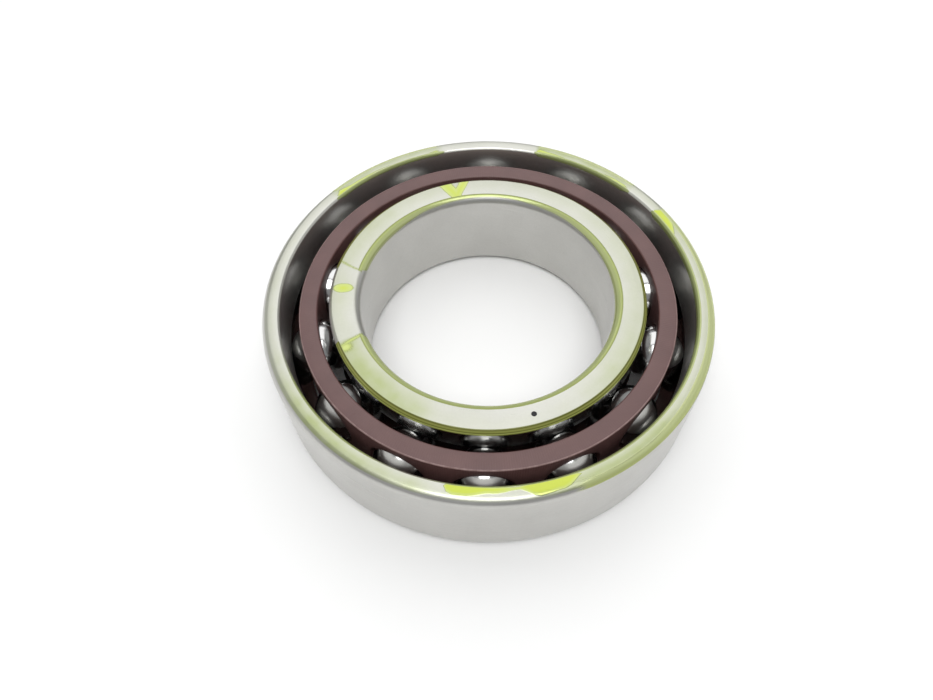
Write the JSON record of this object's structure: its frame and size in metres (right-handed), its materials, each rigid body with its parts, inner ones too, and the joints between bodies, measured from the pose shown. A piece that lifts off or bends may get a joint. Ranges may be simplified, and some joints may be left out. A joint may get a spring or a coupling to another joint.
{
  "type": "ball bearing",
  "caption": "Open angular contact ball bearing with ground steel rings, polished steel balls and a turned brown phenolic cage.",
  "frame": {"origin": "on the bearing's axis, in the plane of the two rings' back faces, so the bearing lies on z = 0 with its front side up", "axes": "+Z along the bearing's axis, from the back faces to the front faces; -Y towards the first ball"},
  "size_m": [0.062, 0.062, 0.014],
  "materials": {
    "ring_steel": "ground bearing steel with a film of preservative oil",
    "ball_steel": "lapped and polished bearing steel",
    "cage_phenolic": "turned fabric-reinforced phenolic, oiled"
  },
  "bodies": {
    "outer_ring": {"outer_ring": "ring_steel"},
    "inner_ring": {"inner_ring": "ring_steel"},
    "cage": {"cage": "cage_phenolic"},
    "ball_01": {"ball_01": "ball_steel"},
    "ball_02": {"ball_02": "ball_steel"},
    "ball_03": {"ball_03": "ball_steel"},
    "ball_04": {"ball_04": "ball_steel"},
    "ball_05": {"ball_05": "ball_steel"},
    "ball_06": {"ball_06": "ball_steel"},
    "ball_07": {"ball_07": "ball_steel"},
    "ball_08": {"ball_08": "ball_steel"},
    "ball_09": {"ball_09": "ball_steel"},
    "ball_10": {"ball_10": "ball_steel"},
    "ball_11": {"ball_11": "ball_steel"},
    "ball_12": {"ball_12": "ball_steel"},
    "ball_13": {"ball_13": "ball_steel"},
    "ball_14": {"ball_14": "ball_steel"}
  },
  "joints": [
    {"name": "inner_ring_spin", "type": "hinge", "parent": "outer_ring", "child": "inner_ring", "pos_m": [0, 0, 0.007], "axis": [0, 0, 1], "continuous": true},
    {"name": "cage_orbit", "type": "hinge", "parent": "outer_ring", "child": "cage", "pos_m": [0, 0, 0.007], "axis": [0, 0, 1], "continuous": true},
    {"name": "ball_01_roll", "type": "hinge", "parent": "cage", "child": "ball_01", "pos_m": [0, -0.02425, 0.007], "axis": [0, -0.2588, 0.9659], "continuous": true},
    {"name": "ball_02_roll", "type": "hinge", "parent": "cage", "child": "ball_02", "pos_m": [0.01052, -0.02185, 0.007], "axis": [0.1123, -0.2332, 0.9659], "continuous": true},
    {"name": "ball_03_roll", "type": "hinge", "parent": "cage", "child": "ball_03", "pos_m": [0.01896, -0.01512, 0.007], "axis": [0.2024, -0.1614, 0.9659], "continuous": true},
    {"name": "ball_04_roll", "type": "hinge", "parent": "cage", "child": "ball_04", "pos_m": [0.02364, -0.0054, 0.007], "axis": [0.2523, -0.0576, 0.9659], "continuous": true},
    {"name": "ball_05_roll", "type": "hinge", "parent": "cage", "child": "ball_05", "pos_m": [0.02364, 0.0054, 0.007], "axis": [0.2523, 0.0576, 0.9659], "continuous": true},
    {"name": "ball_06_roll", "type": "hinge", "parent": "cage", "child": "ball_06", "pos_m": [0.01896, 0.01512, 0.007], "axis": [0.2024, 0.1614, 0.9659], "continuous": true},
    {"name": "ball_07_roll", "type": "hinge", "parent": "cage", "child": "ball_07", "pos_m": [0.01052, 0.02185, 0.007], "axis": [0.1123, 0.2332, 0.9659], "continuous": true},
    {"name": "ball_08_roll", "type": "hinge", "parent": "cage", "child": "ball_08", "pos_m": [0, 0.02425, 0.007], "axis": [0, 0.2588, 0.9659], "continuous": true},
    {"name": "ball_09_roll", "type": "hinge", "parent": "cage", "child": "ball_09", "pos_m": [-0.01052, 0.02185, 0.007], "axis": [-0.1123, 0.2332, 0.9659], "continuous": true},
    {"name": "ball_10_roll", "type": "hinge", "parent": "cage", "child": "ball_10", "pos_m": [-0.01896, 0.01512, 0.007], "axis": [-0.2024, 0.1614, 0.9659], "continuous": true},
    {"name": "ball_11_roll", "type": "hinge", "parent": "cage", "child": "ball_11", "pos_m": [-0.02364, 0.0054, 0.007], "axis": [-0.2523, 0.0576, 0.9659], "continuous": true},
    {"name": "ball_12_roll", "type": "hinge", "parent": "cage", "child": "ball_12", "pos_m": [-0.02364, -0.0054, 0.007], "axis": [-0.2523, -0.0576, 0.9659], "continuous": true},
    {"name": "ball_13_roll", "type": "hinge", "parent": "cage", "child": "ball_13", "pos_m": [-0.01896, -0.01512, 0.007], "axis": [-0.2024, -0.1614, 0.9659], "continuous": true},
    {"name": "ball_14_roll", "type": "hinge", "parent": "cage", "child": "ball_14", "pos_m": [-0.01052, -0.02185, 0.007], "axis": [-0.1123, -0.2332, 0.9659], "continuous": true}
  ],
  "couplings": [
    {"joint": "cage_orbit", "follows": "inner_ring_spin", "ratio": 0.42095},
    {"joint": "ball_01_roll", "follows": "inner_ring_spin", "ratio": -2.9786},
    {"joint": "ball_02_roll", "follows": "inner_ring_spin", "ratio": -2.9786},
    {"joint": "ball_03_roll", "follows": "inner_ring_spin", "ratio": -2.9786},
    {"joint": "ball_04_roll", "follows": "inner_ring_spin", "ratio": -2.9786},
    {"joint": "ball_05_roll", "follows": "inner_ring_spin", "ratio": -2.9786},
    {"joint": "ball_06_roll", "follows": "inner_ring_spin", "ratio": -2.9786},
    {"joint": "ball_07_roll", "follows": "inner_ring_spin", "ratio": -2.9786},
    {"joint": "ball_08_roll", "follows": "inner_ring_spin", "ratio": -2.9786},
    {"joint": "ball_09_roll", "follows": "inner_ring_spin", "ratio": -2.9786},
    {"joint": "ball_10_roll", "follows": "inner_ring_spin", "ratio": -2.9786},
    {"joint": "ball_11_roll", "follows": "inner_ring_spin", "ratio": -2.9786},
    {"joint": "ball_12_roll", "follows": "inner_ring_spin", "ratio": -2.9786},
    {"joint": "ball_13_roll", "follows": "inner_ring_spin", "ratio": -2.9786},
    {"joint": "ball_14_roll", "follows": "inner_ring_spin", "ratio": -2.9786}
  ]
}
